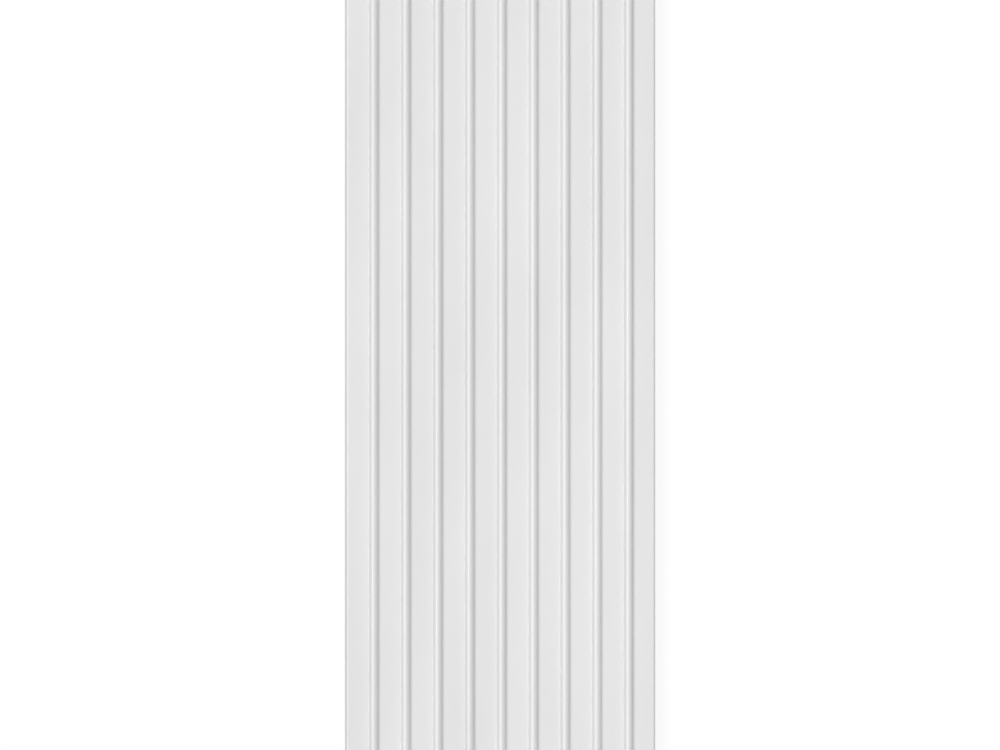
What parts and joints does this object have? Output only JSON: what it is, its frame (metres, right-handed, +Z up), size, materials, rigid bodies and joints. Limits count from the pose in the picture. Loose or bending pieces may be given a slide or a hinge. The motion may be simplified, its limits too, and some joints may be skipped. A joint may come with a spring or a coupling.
{
  "type": "decorative wall slat",
  "caption": "Long flat white board with a row of slim round ribs raised along its face, glued to a wall beside others like it as decorative cladding.",
  "frame": {"origin": "middle of the flat back face, on the floor that the board lies on", "axes": "+X across the board, +Y along its length, +Z up, out of the ribbed face"},
  "size_m": [0.12, 2.7, 0.012],
  "materials": {
    "white_polymer": "satin white, smooth from the extrusion die"
  },
  "bodies": {
    "root": {"wall_slat": "white_polymer"}
  },
  "joints": []
}
